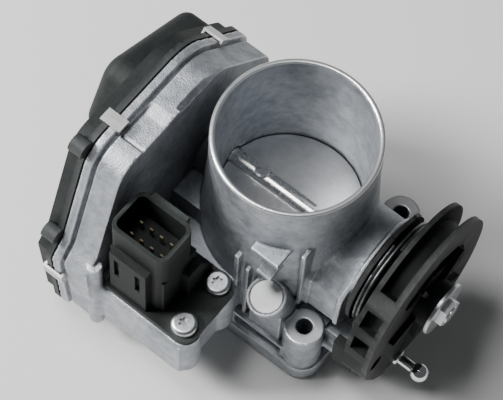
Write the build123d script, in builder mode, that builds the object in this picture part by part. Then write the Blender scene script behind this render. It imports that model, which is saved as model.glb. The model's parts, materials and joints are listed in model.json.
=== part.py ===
from build123d import *

import os
from math import acos, atan2, cos, degrees, hypot, pi, radians, sin, tan

# Cable-driven throttle body with an electric idle actuator.
# Frame: millimetres, +Z up along the bore from the manifold flange to the inlet rim,
# origin at the bore axis on the flange's bottom face. The throttle shaft lies along X:
# the gear housing is at its -X end and the cable pulley at its +X end.

# ---------------------------------------------------------------- driving dimensions
FIT = 0.02                 # radial play of a part pressed or screwed into another
RUN_FIT = 0.03             # radial gap of every running fit
CUT = 1.0                  # how far a cut runs past the face that it opens
WELD = 1.0                 # how far two joined solids run into each other

# duct
INLET_Z = 114.0            # height of the inlet rim over the flange face
INLET_R = 34.0             # outside radius of the inlet spigot
SPIGOT_L = 22.0            # straight length of the spigot
INLET_BORE_R = 31.7        # bore radius at the rim
BORE_R = 30.0              # bore radius at the plate
TAPER_END_Z = 68.0         # where the inlet taper reaches the bore radius
ROOT_R = 36.0              # outside radius of the duct at its root
RIM_SOFT = 0.5             # rounding of the rim and the other round edges up there

# manifold flange
FLANGE_T = 9.0
FLANGE_HALF_X = 43.5
FLANGE_HALF_Y = 41.5
FLANGE_CORNER = 9.0
BOLT_X = 34.0
BOLT_Y = 32.5
BOLT_HOLE_R = 3.3
BOLT_HEAD_R = 6.0          # clear radius over the two bolt seats beside the housing
BOSS_R = 8.2
BOSS_Z = 35.0
WEB_W = 11.0               # width of the diagonal webs behind the bosses
WEB_DROP = 5.0             # how far the webs stay under the boss tops

# front wall under the duct
WALL_LOW = (2.0, -40.0, 0.0)
WALL_HIGH = (30.0, -20.0, 18.5)
POCKET_LOW = (4.5, -42.0, 9.5)
POCKET_HIGH = (28.5, -35.5, 16.5)
NECK_LOW = (10.5, -38.2, 0.0)
NECK_HIGH = (26.0, -20.0, 40.0)
FRONT_RIBS = (             # low x, high x, reach in y and height of each upright rib
    (1.5, 3.5, -38.6, 70.0),
    (6.2, 8.0, -37.6, 62.0),
)
SIDE_RIB_LOW = (25.5, -27.5, 38.0)
SIDE_RIB_HIGH = (27.3, -20.0, 84.0)
FRONT_PADS = (             # low and high corners of the two flat pads over the plug
    ((8.0, -37.2, 82.0), (21.0, -25.0, 84.5)),
    ((12.0, -38.4, 68.5), (19.0, -25.0, 71.0)),
)

# plug in its leaning boss
PLUG_SPOT = (18.3, -38.7, 54.0)
PLUG_TILT = 22.0           # lean of the plug towards -Y
PLUG_R = 7.0
PLUG_BOSS_R = 8.3
PLUG_BOSS_L = 30.0
PLUG_SEAT = 2.5
PLUG_T = 2.1
PLUG_EDGE = 0.5
PASSAGE_R = 2.6
PASSAGE_L = 14.0

# throttle shaft line
SHAFT_Z = 58.0
SHAFT_R = 4.0
SHAFT_LOW_X = -54.0
SHAFT_HIGH_X = 80.9
SHAFT_HOLE_GAP = 0.6
BEARING_R = 6.5
BEARING_L = 10.0
BEARING_END = 0.1          # end play of bearings and seals in their seats
SEAL_L = 2.5
SEAL_GAP = 0.05
PLATE_R = 29.75
PLATE_T = 2.0
PLATE_EDGE = 0.4
PLATE_TILT = 8.0           # closing angle of the plate
PLATE_SCREW_SPAN = 30.0
PLATE_SCREW_R = 1.5
PLATE_HEAD_R = 3.2
PLATE_HEAD_T = 1.7
PLATE_SLOT_W = 0.9
PLATE_SLOT_TURN = 35.0

# shaft bosses of the casting
DRIVE_BOSS_R = 13.0
DRIVE_BOSS_END_X = -28.0
PULLEY_BOSS_R = 20.0
PULLEY_BOSS_LOW_X = 20.0
PULLEY_BOSS_RIM_R = 21.4
PULLEY_BOSS_RIM_X = 44.5
PULLEY_BOSS_END_X = 46.0
SEAT_FACE_X = 47.0         # outer face of the pulley-side bearing seat
BLOCK_POINTS = ((-6.0, 70.0), (-10.6, 75.3), (-24.5, 61.0), (-26.0, 42.0), (-14.0, 32.0), (4.0, 38.0))
BLOCK_RIM_POINTS = ((-6.0, 70.0), (-10.8, 76.2), (-25.4, 61.2), (-26.8, 42.0), (-14.0, 32.0), (4.0, 38.0))
BLOCK_LOW_X = 28.0
BLOCK_HIGH_X = 45.0
BLOCK_RIM_T = 2.0
BLOCK_CORNER = 1.5

# gear housing: a tray open towards -X
RIM_X = -56.0
FLOOR_OUT_X = -40.0
FLOOR_IN_X = -43.0
TRAY_WALL = 3.0
LIP_OUT = 1.6
LIP_T = 3.4
GROOVE_T = 1.6             # width of the groove behind the lip
GROOVE_DEPTH = 1.2
JOIN = 0.2                 # overlap of the slabs that make up the tray's wall
OUTLINE = (                # y, z and rounding of each corner of the housing's outline
    (-77.0, 11.0, 4.0), (-80.5, 60.0, 2.5), (-73.5, 68.5, 6.0), (-56.5, 118.5, 12.0),
    (1.0, 118.5, 24.0), (36.0, 80.0, 14.0), (36.0, 44.0, 12.0), (21.0, 22.0, 12.0),
    (-34.0, 22.0, 10.0), (-40.0, 11.0, 4.0),
)
STEP_POINTS = ((-44.6, 122.0), (-44.6, 116.6), (-43.2, 116.6), (-43.2, 117.2), (-31.0, 117.2),
               (-25.0, 118.6), (-25.0, 122.0))
BEVEL_POINTS = ((-39.0, 120.0), (-43.4, 120.0), (-39.0, 114.6))
BEVEL_LOW_Y = -22.0
BEVEL_L = 24.0
POST_X = -39.7
POST_Y = -75.2
POST_R = 3.2
POST_LOW_Z = 12.0
POST_HIGH_Z = 65.0
DUCT_WEB_LOW = (-41.0, -26.0, 18.0)
DUCT_WEB_HIGH = (-20.0, 26.0, 54.0)

# gear cover
COVER_X = -65.0
COVER_WALL = 2.2
COVER_INSET = 0.4
COVER_FLANGE_T = 2.6
GASKET_T = 0.8
GASKET_GROW = 0.6
GASKET_INSET = 0.2
DOME_X = -80.0
DOME_Y = -1.0
DOME_Z = 78.5
DOME_L = 61.0
DOME_W = 37.0
DOME_CORNER = 9.0
DOME_TURN = -27.0
DOME_SOFT = 5.0
PANEL_POINTS = ((-65.0, 66.0), (-46.0, 66.0), (-46.0, 100.0), (-56.0, 100.0))
PANEL_T = 2.2
PANEL_CORNER = 4.0
COVER_RIB_Z = (26.0, 38.0, 50.0)
COVER_RIB_Y = (-70.0, -30.0)
COVER_RIB_T = 2.0
COVER_RIB_H = 1.4
LUGS = ((-57.4, 118.0, 3.8), (-76.4, 70.8, 3.5))   # y, z and radius
LUG_L = 6.4

# spring clips over the cover flange and the housing lip: y, z and outward direction
CLIP_SPOTS = ((-42.0, 120.2, 90.0), (-81.2, 45.9, 184.1), (19.8, 100.4, 42.3), (37.7, 62.0, 0.0))
CLIP_W = 6.0
CLIP_T = 1.0
CLIP_GAP = 0.3
CLIP_REACH_COVER = 1.5
CLIP_REACH_LIP = 0.9
CLIP_LOW_X = RIM_X - GASKET_T - 3.0
CLIP_HIGH_X = RIM_X + 3.8

# motor and its box
MOTOR_Y = -58.0
MOTOR_Z = 34.0
MOTOR_R = 11.0
MOTOR_LOW_X = -42.0
MOTOR_HIGH_X = -4.0
MOTOR_NOSE_R = 4.0
MOTOR_NOSE_L = 1.6
MOTOR_SHAFT_R = 1.0
MOTOR_SHAFT_GAP = 0.1
MOTOR_POCKET_GAP = 0.4
MOTOR_SCREW_SPAN = 27.0
MOTOR_SCREW_R = 1.5
MOTOR_HEAD_R = 2.9
MOTOR_HEAD_T = 2.0
RETAINER_T = 1.5
RETAINER_L = 26.0
RETAINER_W = 9.0
RETAINER_MIDDLE_R = 9.0
BOX_HIGH_X = 4.0
BOX_LOW_Y = -75.8
BOX_HIGH_Y = -41.0
BOX_LOW_Z = 19.0
BOX_HIGH_Z = 48.0
BOX_CORNER = 2.5
COLUMN_R = 7.2
COLUMN_LOW_Z = 20.0
BOX_WEB_LOW = (-38.0, -46.0, 20.0)
BOX_WEB_HIGH = (4.0, -24.0, 42.0)

# gears, one module throughout
MODULE = 1.0
PINION_TEETH = 10
WHEEL_TEETH = 40
SMALL_TEETH = 12
SECTOR_TEETH = 64
SECTOR_SPAN_TEETH = 12
SECTOR_LOW_X = -50.5
SECTOR_HIGH_X = -46.5
SECTOR_HUB_R = 8.0
SECTOR_EDGE = 0.06         # angle that the sector's body runs past its last tooth
WHEEL_LOW_X = -56.0
WHEEL_HIGH_X = -52.0
TOOTH_SHARE = 0.40         # tooth width at the pitch line as a share of the pitch
TOOTH_ROOT = 0.3           # how far a tooth runs into its gear's body
ADDENDUM = 0.9 * MODULE
DEDENDUM = 1.2 * MODULE
PRESSURE = radians(20)
IDLER_PIN_R = 1.95
IDLER_GAP = 0.05
IDLER_HUB_R = 3.4
IDLER_HOLES = 5
IDLER_HOLE_R = 3.2
IDLER_HOLE_REACH = 12.0
DOG_R = 2.2
DOG_REACH = 5.6
DOG_ANGLE = radians(100)

# position sensor
WIPER_LOW_X = -55.6
WIPER_HIGH_X = -53.1
WIPER_HUB_R = 6.6
WIPER_ARM_HALF = 2.5
WIPER_ARM_L = 14.0
WIPER_BRUSHES = (9.5, 12.5)
BRUSH_LOW_X = -58.6
BRUSH_HALF = (0.5, 0.8)
BOARD_Y = -1.0
BOARD_Z = 54.0
BOARD_W = 38.0
BOARD_H = 34.0
BOARD_CORNER = 4.0
BOARD_T = 1.4
BOARD_STAND = 2.0

# cable pulley
HUB_LOW_X = 49.5
HUB_LOW_R = 9.0
SPOOL_X = 54.5
SPOOL_R = 24.8
FLANGE_IN_X = 56.5
GROOVE_LOW_X = 58.6
GROOVE_HIGH_X = 66.0
FLANGE_OUT_X = 68.6
PULLEY_R = 37.5
GROOVE_R = 30.5
CAM_SPOT = (-1.0, 53.0)
CAM_R = 37.5
PULLEY_BLOCK = ((-12.0, 52.0), (-36.0, 62.0), (-38.5, 44.0), (-31.0, 29.0), (-24.0, 20.5), (-12.0, 24.0))
PULLEY_BLOCK_CORNER = 3.0
FINGER_POINTS = ((-31.8, 40.0), (-31.8, 20.5), (-27.35, 20.5), (-27.35, 40.0))
FINGER_LOW_X = 48.1
HOOK_POINTS = ((-31.0, 70.0), (-31.0, 58.0), (-20.0, 58.0), (-20.0, 70.0))
GROOVE_WEDGE = ((0.0, 58.0), (-40.0, 115.0), (-40.0, 140.0), (80.0, 140.0), (80.0, 28.0))
GROOVE_CLEAR = 14.0        # how far the groove's cut runs past the rim
NIPPLE_SPOT = (-32.0, 49.5)
NIPPLE_R = 3.6
RIM_POCKETS = (146.0, 168.0)
RIM_POCKET_W = 9.0
WINDOW_ANGLES = (15.0, 62.0, 109.0)
WINDOW_REACH = 20.5
WINDOW_L = 11.0
WINDOW_W = 9.0
WINDOW_FLOOR_T = 1.6
HUB_R = 10.5
HUB_END_X = 75.5
HUB_RIBS = 5
HUB_RIB_START = 38.0
HUB_RIB_REACH = 16.0
HUB_RIB_L = 18.0
HUB_RIB_W = 2.2
HUB_RIB_H = 2.4
WASHER_R = 12.0
WASHER_T = 1.8
NUT_FLATS = 11.0
NUT_T = 3.0
STACK_GAP = 0.05           # gap between parts stacked on the shaft

# ball stud
BALL_X = 80.0
BALL_Y = -14.0
BALL_Z = 21.4
BALL_R = 4.0
STUD_R = 2.55
STUD_NECK_R = 2.4
STUD_COLLAR_R = 3.5
STUD_COLLAR_T = 2.4

# return spring and its cup
CUP_LOW_X = 47.0
CUP_R = 24.8
CUP_HOLE_R = 7.0
CUP_T = 1.8
SLEEVE_R = 16.0
SLEEVE_IN_R = 13.2
SLEEVE_END_X = 53.5
CUP_TABS = 3
CUP_TAB_REACH = 23.0
CUP_TAB_SIZE = 5.0
SPRING_R = 23.2
SPRING_WIRE_R = 0.85
SPRING_LOW_X = 49.85
SPRING_PITCH = 1.75
SPRING_TURNS = 2

# throttle stop
STOP_X = 50.6
STOP_Z = 25.0
STOP_TIP_Y = -27.0
STOP_L = 17.0
STOP_R = 2.5
STOP_NUT_Y = -16.9
STOP_NUT_T = 3.2
STOP_NUT_R = 4.0
LUG_LOW = (30.0, -26.0, 20.0)
LUG_HIGH = (54.0, -17.0, 30.0)
LUG_FOOT_LOW = (26.0, -34.0, 0.0)
LUG_FOOT_HIGH = (40.0, -14.0, 32.0)
SIDE_BOSS_Y = -26.0
SIDE_BOSS_Z = 21.0
SIDE_BOSS_R = 3.4
SIDE_BOSS_X = (36.0, 47.0)
SIDE_HOLE_R = 1.5
SIDE_HOLE_L = 3.0

# connector
PAD_T = 3.0
SEAL_T = 0.8
PAD_Z = BOX_HIGH_Z + SEAL_T
FOOT_POINTS = ((-35.8, -74.5), (7.0, -75.0), (7.0, -40.5), (-22.0, -40.5), (-38.5, -46.0))
FOOT_ROUNDING = (3.0, 6.4, 6.4, 5.0, 3.0)
TOWER_LOW = (-36.5, -70.0)
TOWER_HIGH = (-9.5, -50.0)
TOWER_CORNER = 4.0
SOCKET_Z = 100.0
SOCKET_WALL = 1.7
SOCKET_CORNER = 2.6
SOCKET_DEPTH = 17.0
SKIRT_LOW = (-33.2, -73.4, PAD_Z)
SKIRT_HIGH = (-15.2, -50.0, 85.0)
SHOULDER_LOW = (-36.5, -69.0, PAD_Z)
SHOULDER_HIGH = (-9.5, -49.0, 79.0)
HEEL_POINTS = ((-58.0, PAD_Z), (-42.5, PAD_Z), (-42.5, 58.0), (-50.0, 72.0), (-58.0, 72.0))
HEEL_X = (-30.0, -6.0)
LATCH_LOW = (-31.5, -50.5, 88.0)
LATCH_HIGH = (-14.5, -47.4, 99.0)
SKIRT_SLOT_X = (-31.0, -20.5)
SKIRT_SLOT_W = 2.4
SKIRT_SLOT_Z = (66.5, 80.5)
SKIRT_SLOT_DEPTH = 1.6
PIN_GRID = (5.0, 6.0, 4, 2)
PIN_W = 1.5
PIN_T = 0.7
PIN_ROOT = 6.0
PIN_L = 12.0
SEAL_SPOT = (-19.0, -57.5)
SEAL_OUTER = (30.0, 24.0, 4.0)
SEAL_INNER = (25.0, 19.0, 2.5)

# connector screws
SCREW_POINTS = ((0.4, -68.3), (-0.4, -46.3))
SCREW_R = 2.5
SCREW_GAP = 0.2
SCREW_HOLE_L = 12.0
HEAD_R = 5.4
HEAD_T = 3.6
HEAD_SOFT = 1.6
HEAD_SEAT_R = 6.2
HEAD_SEAT_L = 14.0
SOCKET_LOBES = 6
SOCKET_LOBE_R = 0.62
SOCKET_R = 1.7
SOCKET_FLOOR = 1.8

os.makedirs("parts", exist_ok=True)


# ---------------------------------------------------------------- shared helpers
def disc_x(radius, low, high, y=0.0, z=SHAFT_Z, mode=Mode.ADD):
    """Adds to or cuts from the part in hand a cylinder along X between low and high."""
    with BuildSketch(Plane.YZ.offset(low)) as profile:
        with Locations((y, z)):
            Circle(radius)
    extrude(profile.sketch, amount=high - low, mode=mode)


def disc_z(radius, low, high, x=0.0, y=0.0, mode=Mode.ADD):
    """Adds to or cuts from the part in hand an upright cylinder between low and high."""
    with BuildSketch(Plane.XY.offset(low)) as profile:
        with Locations((x, y)):
            Circle(radius)
    extrude(profile.sketch, amount=high - low, mode=mode)


def disc_along(radius, plane, low, high, mode=Mode.ADD):
    """Adds to or cuts from the part in hand a cylinder along a plane's normal."""
    with BuildSketch(plane.offset(low)) as profile:
        Circle(radius)
    extrude(profile.sketch, amount=high - low, mode=mode)


def ring_x(outer, inner, low, high):
    """Adds to the part in hand a plain ring around the shaft line."""
    with BuildSketch(Plane.YZ.offset(low)) as profile:
        with Locations((0, SHAFT_Z)):
            Circle(outer)
            Circle(inner, mode=Mode.SUBTRACT)
    extrude(profile.sketch, amount=high - low)


def box_between(low, high, mode=Mode.ADD):
    """Adds to or cuts from the part in hand a block between two corners."""
    size = [b - a for a, b in zip(low, high)]
    middle = [(a + b) / 2 for a, b in zip(low, high)]
    with Locations(tuple(middle)):
        Box(*size, mode=mode)


def prism_x(points, low, high, radius=0.0, mode=Mode.ADD):
    """Adds to or cuts from the part in hand a YZ polygon, its corners rounded, along X."""
    with BuildSketch(Plane.YZ.offset(low)) as profile:
        with BuildLine():
            if radius:
                FilletPolyline(*points, radius=radius, close=True)
            else:
                Polyline(*points, close=True)
        make_face()
    extrude(profile.sketch, amount=high - low, mode=mode)


def tray_slab(low, high, grow=0.0, mode=Mode.ADD):
    """Adds to or cuts from the part in hand a slab with the gear housing's grown outline."""
    corners = [(y, z) for y, z, _ in OUTLINE]
    rounding = [radius for _, _, radius in OUTLINE]
    with BuildSketch(Plane.YZ.offset(low)) as profile:
        with BuildLine() as outline:
            FilletPolyline(*corners, radius=rounding, close=True)
        make_face(outline.edges())
        if grow:
            offset(amount=grow, kind=Kind.INTERSECTION, mode=Mode.REPLACE)
    extrude(profile.sketch, amount=high - low, mode=mode)


def dome_slab(low, high, inset=0.0, mode=Mode.ADD):
    """Adds to or cuts from the part in hand the cover dome's long rounded block."""
    with BuildSketch(Plane.YZ.offset(low)) as profile:
        with Locations((DOME_Y, DOME_Z)):
            RectangleRounded(DOME_L - 2 * inset, DOME_W - 2 * inset, DOME_CORNER - inset, rotation=DOME_TURN)
    extrude(profile.sketch, amount=high - low, mode=mode)


def save(finished, label):
    """Labels a finished piece and writes it as one node."""
    finished.label = label
    export_step(finished, f"parts/{label}.step")


# ---------------------------------------------------------------- gear geometry
def gear_reach(teeth_a, teeth_b):
    """Centre distance of two gears in mesh."""
    return MODULE * (teeth_a + teeth_b) / 2


MOTOR_SPAN = hypot(MOTOR_Y, MOTOR_Z - SHAFT_Z)
SECTOR_REACH = gear_reach(SECTOR_TEETH, SMALL_TEETH)
WHEEL_REACH = gear_reach(WHEEL_TEETH, PINION_TEETH)
MOTOR_ANGLE = atan2(MOTOR_Z - SHAFT_Z, MOTOR_Y)
# angle at the shaft between the line to the motor and the line to the idler
IDLER_SWING = acos((SECTOR_REACH ** 2 + MOTOR_SPAN ** 2 - WHEEL_REACH ** 2)
                   / (2 * SECTOR_REACH * MOTOR_SPAN))
IDLER_ANGLE = MOTOR_ANGLE - IDLER_SWING
IDLER_Y = SECTOR_REACH * cos(IDLER_ANGLE)
IDLER_Z = SHAFT_Z + SECTOR_REACH * sin(IDLER_ANGLE)
# direction from the idler to the motor pinion
PINION_ANGLE = atan2(MOTOR_Z - IDLER_Z, MOTOR_Y - IDLER_Y)


def tooth(teeth, angle, y, z):
    """Draws one straight-flanked tooth of a gear centred at (y, z), pointing along angle."""
    pitch_r = MODULE * teeth / 2
    half = TOOTH_SHARE * pi * MODULE / 2
    tip_half = half - ADDENDUM * tan(PRESSURE)
    foot_half = half + DEDENDUM * tan(PRESSURE)
    foot_r = pitch_r - DEDENDUM - TOOTH_ROOT
    tip_r = pitch_r + ADDENDUM
    across = (-sin(angle), cos(angle))
    along = (cos(angle), sin(angle))
    corners = []
    for reach, side in ((foot_r, -foot_half), (tip_r, -tip_half), (tip_r, tip_half), (foot_r, foot_half)):
        corners.append((y + along[0] * reach + across[0] * side, z + along[1] * reach + across[1] * side))
    with BuildLine() as outline:
        Polyline(*corners, close=True)
    make_face(outline.edges())


def gear_x(teeth, low, high, y, z, first_angle):
    """Adds to the part in hand a spur gear along X, with a tooth centred on first_angle."""
    with BuildSketch(Plane.YZ.offset(low)) as profile:
        with Locations((y, z)):
            Circle(MODULE * teeth / 2 - DEDENDUM)
        for index in range(teeth):
            tooth(teeth, first_angle + 2 * pi * index / teeth, y, z)
    extrude(profile.sketch, amount=high - low)


def gap_phase(teeth, towards):
    """First tooth angle that puts a tooth gap of a gear on the direction towards."""
    return towards + pi / teeth


# ---------------------------------------------------------------- casting
plug_plane = Plane(origin=PLUG_SPOT, x_dir=(1, 0, 0),
                   z_dir=(0, -sin(radians(PLUG_TILT)), cos(radians(PLUG_TILT))))

with BuildPart() as casting:
    # duct wall with a slight flare towards its root
    with BuildSketch(Plane.XZ):
        with BuildLine():
            Polyline((0, 0), (ROOT_R, 0), (ROOT_R, SHAFT_Z), (INLET_R, INLET_Z - SPIGOT_L),
                     (INLET_R, INLET_Z), (0, INLET_Z), close=True)
        make_face()
    revolve(axis=Axis.Z)

    # flange plate, bolt bosses and the webs behind them
    with BuildSketch():
        RectangleRounded(2 * FLANGE_HALF_X, 2 * FLANGE_HALF_Y, FLANGE_CORNER)
    extrude(amount=FLANGE_T)
    with BuildSketch():
        with GridLocations(2 * BOLT_X, 2 * BOLT_Y, 2, 2):
            Circle(BOSS_R)
    extrude(amount=BOSS_Z)
    with BuildSketch():
        for side in (-1, 1):
            turn = side * degrees(atan2(BOLT_Y, BOLT_X))
            SlotCenterToCenter(2 * hypot(BOLT_X, BOLT_Y) - BOSS_R / 2, WEB_W, rotation=turn)
    extrude(amount=BOSS_Z - WEB_DROP)

    # front wall, its leaning plug boss, upright ribs and flat pads
    box_between(WALL_LOW, WALL_HIGH)
    box_between(NECK_LOW, NECK_HIGH)
    disc_along(PLUG_BOSS_R, plug_plane, -PLUG_BOSS_L, 0)
    for rib_low_x, rib_high_x, rib_y, rib_z in FRONT_RIBS:
        box_between((rib_low_x, rib_y, 0), (rib_high_x, -BORE_R, rib_z))
    box_between(SIDE_RIB_LOW, SIDE_RIB_HIGH)
    for pad_low, pad_high in FRONT_PADS:
        box_between(pad_low, pad_high)

    # gear housing: floor and band, a groove under the lip, then the lip
    tray_slab(RIM_X + LIP_T + GROOVE_T - JOIN, FLOOR_OUT_X)
    tray_slab(RIM_X + LIP_T - JOIN, RIM_X + LIP_T + GROOVE_T, grow=-GROOVE_DEPTH)
    tray_slab(RIM_X, RIM_X + LIP_T, grow=LIP_OUT)

    # step on the band, bevel of its far end and the post at its lower front corner
    prism_x(STEP_POINTS, RIM_X + LIP_T + GROOVE_T, FLOOR_OUT_X + CUT, mode=Mode.SUBTRACT)
    with BuildSketch(Plane.XZ.offset(-BEVEL_LOW_Y)):
        with BuildLine():
            Polyline(*BEVEL_POINTS, close=True)
        make_face()
    extrude(amount=-BEVEL_L, mode=Mode.SUBTRACT)
    disc_z(POST_R, POST_LOW_Z, POST_HIGH_Z, x=POST_X, y=POST_Y)

    # web that joins the housing to the duct
    box_between(DUCT_WEB_LOW, DUCT_WEB_HIGH)

    # motor box with the two connector screw columns
    with BuildSketch(Plane.YZ.offset(FLOOR_OUT_X - WELD)):
        with Locations(((BOX_LOW_Y + BOX_HIGH_Y) / 2, (BOX_LOW_Z + BOX_HIGH_Z) / 2)):
            RectangleRounded(BOX_HIGH_Y - BOX_LOW_Y, BOX_HIGH_Z - BOX_LOW_Z, BOX_CORNER)
    extrude(amount=BOX_HIGH_X - FLOOR_OUT_X + WELD)
    for x, y in SCREW_POINTS:
        disc_z(COLUMN_R, COLUMN_LOW_Z, BOX_HIGH_Z, x=x, y=y)
    box_between(BOX_WEB_LOW, BOX_WEB_HIGH)

    # shaft bosses
    disc_x(DRIVE_BOSS_R, FLOOR_OUT_X - WELD, DRIVE_BOSS_END_X)
    disc_x(PULLEY_BOSS_R, PULLEY_BOSS_LOW_X, PULLEY_BOSS_RIM_X)
    disc_x(PULLEY_BOSS_RIM_R, PULLEY_BOSS_RIM_X, PULLEY_BOSS_END_X)
    disc_x(DRIVE_BOSS_R, PULLEY_BOSS_RIM_X, SEAT_FACE_X)
    prism_x(BLOCK_POINTS, BLOCK_LOW_X, BLOCK_HIGH_X, radius=BLOCK_CORNER)
    for rib_x in (BLOCK_LOW_X, BLOCK_HIGH_X - BLOCK_RIM_T):
        prism_x(BLOCK_RIM_POINTS, rib_x, rib_x + BLOCK_RIM_T, radius=BLOCK_CORNER)

    # throttle stop lug and the small side boss beside it
    box_between(LUG_LOW, LUG_HIGH)
    box_between(LUG_FOOT_LOW, LUG_FOOT_HIGH)
    disc_x(SIDE_BOSS_R, *SIDE_BOSS_X, y=SIDE_BOSS_Y, z=SIDE_BOSS_Z)

    # duct bore
    with BuildSketch(Plane.XZ):
        with BuildLine():
            Polyline((0, -CUT), (BORE_R, -CUT), (BORE_R, TAPER_END_Z), (INLET_BORE_R, INLET_Z),
                     (INLET_BORE_R, INLET_Z + CUT), (0, INLET_Z + CUT), close=True)
        make_face()
    revolve(axis=Axis.Z, mode=Mode.SUBTRACT)

    # bolt holes and clear seats for the bolt heads beside the housing
    with BuildSketch(Plane.XY.offset(-CUT)):
        with GridLocations(2 * BOLT_X, 2 * BOLT_Y, 2, 2):
            Circle(BOLT_HOLE_R)
    extrude(amount=BOSS_Z + 2 * CUT, mode=Mode.SUBTRACT)
    for side in (-1, 1):
        disc_z(BOLT_HEAD_R, BOSS_Z, DUCT_WEB_HIGH[2] + BOSS_Z, x=-BOLT_X, y=side * BOLT_Y, mode=Mode.SUBTRACT)

    # plug seat, the drilled passage below it and the cored pocket of the front wall
    disc_along(PLUG_R, plug_plane, -PLUG_SEAT, CUT, mode=Mode.SUBTRACT)
    disc_along(PASSAGE_R, plug_plane, -PASSAGE_L, -PLUG_SEAT + CUT, mode=Mode.SUBTRACT)
    box_between(POCKET_LOW, POCKET_HIGH, mode=Mode.SUBTRACT)

    # inside of the gear housing and the motor cavity
    tray_slab(RIM_X - CUT, FLOOR_IN_X, grow=-TRAY_WALL, mode=Mode.SUBTRACT)
    disc_x(MOTOR_R + MOTOR_POCKET_GAP, FLOOR_IN_X - CUT, MOTOR_HIGH_X + MOTOR_POCKET_GAP, y=MOTOR_Y,
           z=MOTOR_Z, mode=Mode.SUBTRACT)
    for x, y in SCREW_POINTS:
        disc_z(SCREW_R, BOX_HIGH_Z - SCREW_HOLE_L, BOX_HIGH_Z + CUT, x=x, y=y, mode=Mode.SUBTRACT)

    # shaft passage, bearing and seal seats
    disc_x(SHAFT_R + SHAFT_HOLE_GAP, FLOOR_IN_X - CUT, SEAT_FACE_X + CUT, mode=Mode.SUBTRACT)
    disc_x(BEARING_R, FLOOR_IN_X - CUT, FLOOR_IN_X + BEARING_L + SEAL_L, mode=Mode.SUBTRACT)
    disc_x(BEARING_R, SEAT_FACE_X - BEARING_L - SEAL_L, SEAT_FACE_X + CUT, mode=Mode.SUBTRACT)

    # motor screw holes, idler pin seat, stop screw thread and side boss hole
    for side in (-1, 1):
        disc_x(MOTOR_SCREW_R + FIT, FLOOR_IN_X - CUT, FLOOR_OUT_X - JOIN, y=MOTOR_Y,
               z=MOTOR_Z + side * MOTOR_SCREW_SPAN / 2, mode=Mode.SUBTRACT)
    disc_x(IDLER_PIN_R + IDLER_GAP, FLOOR_IN_X - CUT, FLOOR_OUT_X - SHAFT_HOLE_GAP, y=IDLER_Y, z=IDLER_Z,
           mode=Mode.SUBTRACT)
    with BuildSketch(Plane.XZ.offset(-LUG_LOW[1] + CUT)):
        with Locations((STOP_X, STOP_Z)):
            Circle(STOP_R)
    extrude(amount=-(LUG_HIGH[1] - LUG_LOW[1] + 2 * CUT), mode=Mode.SUBTRACT)
    disc_x(SIDE_HOLE_R, SIDE_BOSS_X[1] - SIDE_HOLE_L, SIDE_BOSS_X[1] + CUT, y=SIDE_BOSS_Y, z=SIDE_BOSS_Z,
           mode=Mode.SUBTRACT)

    # softened inlet rim
    rim_edges = casting.edges().filter_by(GeomType.CIRCLE).filter_by_position(Axis.Z, INLET_Z, INLET_Z)
    fillet(rim_edges, radius=RIM_SOFT)

save(casting.part, "throttle_casting")

with BuildPart() as core_plug:
    disc_along(PLUG_R - FIT, plug_plane, FIT - PLUG_SEAT, PLUG_T - PLUG_SEAT)
    chamfer(core_plug.edges().filter_by(GeomType.CIRCLE).group_by(Axis.Z)[-1], length=PLUG_EDGE)
save(core_plug.part, "core_plug")

# ---------------------------------------------------------------- shaft, plate, bearings, seals
plate_plane = Plane(origin=(0, 0, SHAFT_Z), x_dir=(1, 0, 0),
                    z_dir=(0, sin(radians(PLATE_TILT)), cos(radians(PLATE_TILT))))

with BuildPart() as shaft:
    disc_x(SHAFT_R, SHAFT_LOW_X, SHAFT_HIGH_X)
    # slot that holds the plate, tilted with it, and the two screw holes
    with BuildSketch(plate_plane.offset(-PLATE_T / 2)):
        Rectangle(2 * PLATE_R + CUT, 4 * SHAFT_R)
    extrude(amount=PLATE_T, mode=Mode.SUBTRACT)
    with BuildSketch(plate_plane.offset(-SHAFT_R - CUT)):
        with GridLocations(PLATE_SCREW_SPAN, 0, 2, 1):
            Circle(PLATE_SCREW_R)
    extrude(amount=2 * (SHAFT_R + CUT), mode=Mode.SUBTRACT)
save(shaft.part, "throttle_shaft")

with BuildPart() as plate:
    with BuildSketch(plate_plane.offset(-PLATE_T / 2)):
        Circle(PLATE_R)
    extrude(amount=PLATE_T)
    chamfer(plate.edges().filter_by(GeomType.CIRCLE), length=PLATE_EDGE)
    with BuildSketch(plate_plane.offset(-PLATE_T)):
        with GridLocations(PLATE_SCREW_SPAN, 0, 2, 1):
            Circle(PLATE_SCREW_R)
    extrude(amount=2 * PLATE_T, mode=Mode.SUBTRACT)
save(plate.part, "throttle_plate")

with BuildPart() as plate_screws:
    with BuildSketch(plate_plane.offset(-SHAFT_R - SHAFT_HOLE_GAP)):
        with GridLocations(PLATE_SCREW_SPAN, 0, 2, 1):
            Circle(PLATE_SCREW_R - SEAL_GAP)
    extrude(amount=2 * SHAFT_R + SHAFT_HOLE_GAP + STACK_GAP + PLATE_EDGE)
    with BuildSketch(plate_plane.offset(SHAFT_R + STACK_GAP)):
        with GridLocations(PLATE_SCREW_SPAN, 0, 2, 1):
            Circle(PLATE_HEAD_R)
    extrude(amount=PLATE_HEAD_T)
    with BuildSketch(plate_plane.offset(SHAFT_R + STACK_GAP + PLATE_HEAD_T / 2)):
        with GridLocations(PLATE_SCREW_SPAN, 0, 2, 1):
            Rectangle(2 * PLATE_HEAD_R - CUT, PLATE_SLOT_W, rotation=PLATE_SLOT_TURN)
    extrude(amount=PLATE_HEAD_T, mode=Mode.SUBTRACT)
save(plate_screws.part, "plate_screws")

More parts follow.
